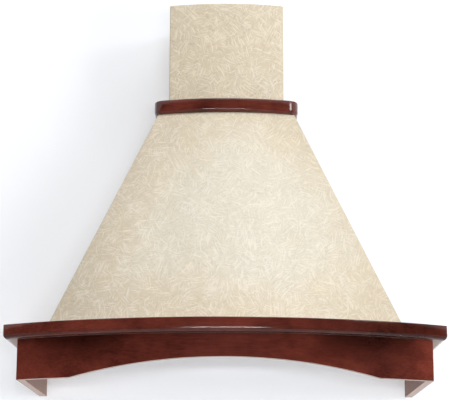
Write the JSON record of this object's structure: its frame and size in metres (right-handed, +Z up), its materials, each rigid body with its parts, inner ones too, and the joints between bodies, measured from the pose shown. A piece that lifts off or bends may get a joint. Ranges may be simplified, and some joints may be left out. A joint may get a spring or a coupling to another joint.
{
  "type": "wooden range hood",
  "caption": "Bow-fronted wall range hood: arched skirt, moulded shelf, tapered canopy, collar and telescopic chimney over a filter and blower insert.",
  "frame": {"origin": "middle of the back face of the wall cleat, on the wall plane and on the hood's middle plane", "axes": "+X to the right seen from the room, +Y towards the wall, +Z up"},
  "size_m": [0.9, 0.5, 0.857],
  "materials": {
    "stained_wood": "dark cherry stain under satin lacquer",
    "raw_wood": "planed softwood, unfinished",
    "plywood": "unfinished plywood",
    "strand_finish": "pale beige coating with a raised strand texture on bending plywood",
    "painted_sheet": "pale beige paint on folded sheet",
    "stainless": "brushed",
    "galvanised": "galvanised sheet",
    "filter_metal": "satin",
    "dark_plastic": "fine matt",
    "lamp_glass": "frosted"
  },
  "bodies": {
    "hood": {"valance": "stained_wood", "skirt_side_left": "stained_wood", "skirt_side_right": "stained_wood", "corner_block_left": "raw_wood", "corner_block_right": "raw_wood", "shelf_front": "stained_wood", "shelf_left": "stained_wood", "shelf_right": "stained_wood", "canopy_front": "strand_finish", "canopy_left": "strand_finish", "canopy_right": "strand_finish", "collar_front": "stained_wood", "collar_left": "stained_wood", "collar_right": "stained_wood", "chimney_front": "strand_finish", "chimney_left": "strand_finish", "chimney_right": "strand_finish", "foot_batten_front": "raw_wood", "foot_batten_left": "raw_wood", "foot_batten_right": "raw_wood", "corner_post_left": "raw_wood", "corner_post_right": "raw_wood", "rear_rail": "raw_wood", "rear_stile_left": "raw_wood", "rear_stile_right": "raw_wood", "neck_board": "plywood", "wall_cleat": "raw_wood", "hang_rail": "raw_wood", "liner_plate": "stainless", "insert_case": "galvanised", "lamp_housing_left": "stainless", "lamp_lens_left": "lamp_glass", "lamp_housing_right": "stainless", "lamp_lens_right": "lamp_glass", "control_bezel": "dark_plastic", "switch_block": "dark_plastic", "scroll_housing": "galvanised", "motor": "galvanised", "motor_bracket": "galvanised", "duct_spigot": "galvanised", "damper_pin": "stainless", "terminal_box": "dark_plastic"},
    "chimney_extension": {"inner_chimney": "painted_sheet"},
    "filter_left": {"filter_frame_left": "filter_metal", "filter_mesh_left": "filter_metal"},
    "filter_right": {"filter_frame_right": "filter_metal", "filter_mesh_right": "filter_metal"},
    "latch_left": {"filter_latch_left": "filter_metal"},
    "latch_right": {"filter_latch_right": "filter_metal"},
    "rotor": {"impeller": "dark_plastic", "motor_shaft": "stainless"},
    "flap_left": {"damper_flap_left": "filter_metal"},
    "flap_right": {"damper_flap_right": "filter_metal"},
    "switch_1": {"button_1": "dark_plastic"},
    "switch_2": {"button_2": "dark_plastic"},
    "switch_3": {"button_3": "dark_plastic"},
    "switch_4": {"button_4": "dark_plastic"},
    "switch_5": {"button_5": "dark_plastic"}
  },
  "joints": [
    {"name": "chimney_slide", "type": "slide", "parent": "hood", "child": "chimney_extension", "axis": [0, 0, 1], "range_m": [0, 0.16]},
    {"name": "filter_left_tilt", "type": "hinge", "parent": "hood", "child": "filter_left", "pos_m": [-0.1215, -0.0356, -0.2887], "axis": [1, 0, 0], "range_deg": [0, 80]},
    {"name": "filter_right_tilt", "type": "hinge", "parent": "hood", "child": "filter_right", "pos_m": [0.1215, -0.0356, -0.2887], "axis": [1, 0, 0], "range_deg": [0, 80]},
    {"name": "latch_left_slide", "type": "slide", "parent": "filter_left", "child": "latch_left", "axis": [0, 1, 0], "range_m": [0, 0.005], "stiffness_N_per_m": 300, "springref_m": -0.01},
    {"name": "latch_right_slide", "type": "slide", "parent": "filter_right", "child": "latch_right", "axis": [0, 1, 0], "range_m": [0, 0.005], "stiffness_N_per_m": 300, "springref_m": -0.01},
    {"name": "impeller_spin", "type": "hinge", "parent": "hood", "child": "rotor", "pos_m": [0, -0.145, -0.1847], "axis": [1, 0, 0], "continuous": true},
    {"name": "flap_left_swing", "type": "hinge", "parent": "hood", "child": "flap_left", "pos_m": [0, -0.105, -0.0876], "axis": [0, 1, 0], "range_deg": [0, 75]},
    {"name": "flap_right_swing", "type": "hinge", "parent": "hood", "child": "flap_right", "pos_m": [0, -0.105, -0.0876], "axis": [0, -1, 0], "range_deg": [0, 75]},
    {"name": "button_1_press", "type": "slide", "parent": "hood", "child": "switch_1", "axis": [0, 0, 1], "range_m": [0, 0.0025], "stiffness_N_per_m": 600, "springref_m": -0.003},
    {"name": "button_2_press", "type": "slide", "parent": "hood", "child": "switch_2", "axis": [0, 0, 1], "range_m": [0, 0.0025], "stiffness_N_per_m": 600, "springref_m": -0.003},
    {"name": "button_3_press", "type": "slide", "parent": "hood", "child": "switch_3", "axis": [0, 0, 1], "range_m": [0, 0.0025], "stiffness_N_per_m": 600, "springref_m": -0.003},
    {"name": "button_4_press", "type": "slide", "parent": "hood", "child": "switch_4", "axis": [0, 0, 1], "range_m": [0, 0.0025], "stiffness_N_per_m": 600, "springref_m": -0.003},
    {"name": "button_5_press", "type": "slide", "parent": "hood", "child": "switch_5", "axis": [0, 0, 1], "range_m": [0, 0.0025], "stiffness_N_per_m": 600, "springref_m": -0.003}
  ]
}
